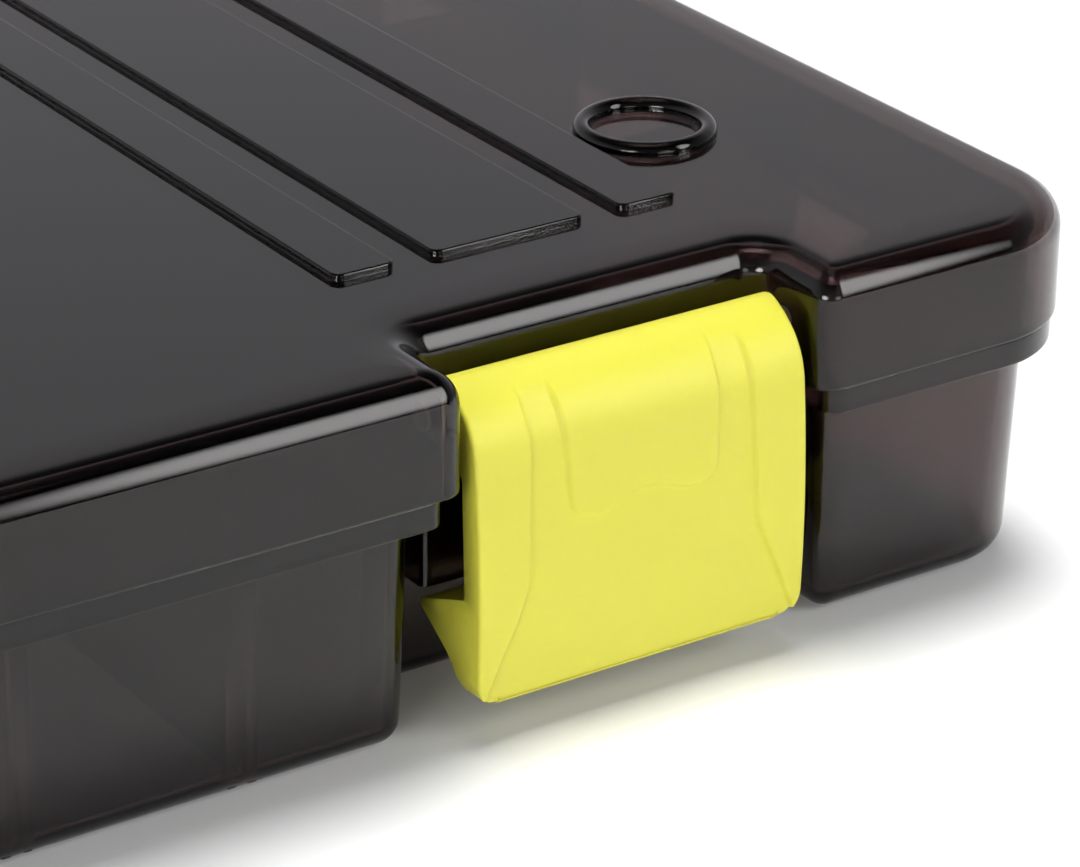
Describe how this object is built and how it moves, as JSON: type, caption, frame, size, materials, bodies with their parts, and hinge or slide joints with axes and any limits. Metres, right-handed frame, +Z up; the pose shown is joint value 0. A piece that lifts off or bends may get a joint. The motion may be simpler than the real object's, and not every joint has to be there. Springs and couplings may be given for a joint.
{
  "type": "compartment tackle box",
  "caption": "Shallow smoke-coloured storage box with a hinged lid, front latches and a tray divided into rows of compartments.",
  "frame": {"origin": "under the middle of the box, on the surface that it stands on", "axes": "+X along the box's long side, to the right as seen from the latches; -Y is the front with the latches, +Y the hinge; +Z up"},
  "size_m": [0.355, 0.225, 0.05],
  "materials": {
    "smoke_shell": "smoke-coloured see-through plastic, polished",
    "divider_smoke": "smoke-coloured see-through plastic",
    "latch_yellow": "satin lime-yellow plastic",
    "pin_steel": "drawn stainless wire"
  },
  "bodies": {
    "tray": {"base_tray": "smoke_shell", "hinge_pin_left": "pin_steel", "hinge_pin_right": "pin_steel", "divider_front_left": "divider_smoke", "divider_front_centre": "divider_smoke", "divider_front_right": "divider_smoke", "divider_middle_front_left": "divider_smoke", "divider_middle_front_centre": "divider_smoke", "divider_middle_front_right": "divider_smoke", "divider_middle_back_left": "divider_smoke", "divider_middle_back_centre": "divider_smoke", "divider_middle_back_right": "divider_smoke", "divider_back_left": "divider_smoke", "divider_back_centre": "divider_smoke", "divider_back_right": "divider_smoke"},
    "lid": {"lid": "smoke_shell", "latch_pin_left": "pin_steel", "latch_pin_right": "pin_steel"},
    "latch_left": {"latch_left": "latch_yellow"},
    "latch_right": {"latch_right": "latch_yellow"}
  },
  "joints": [
    {"name": "lid_hinge", "type": "hinge", "parent": "tray", "child": "lid", "pos_m": [0, 0.1093, 0.0313], "axis": [-1, 0, 0], "range_deg": [0, 180]},
    {"name": "latch_left_hinge", "type": "hinge", "parent": "lid", "child": "latch_left", "pos_m": [-0.1085, -0.1039, 0.0401], "axis": [-1, 0, 0], "range_deg": [0, 100]},
    {"name": "latch_right_hinge", "type": "hinge", "parent": "lid", "child": "latch_right", "pos_m": [0.1085, -0.1039, 0.0401], "axis": [-1, 0, 0], "range_deg": [0, 100]}
  ]
}
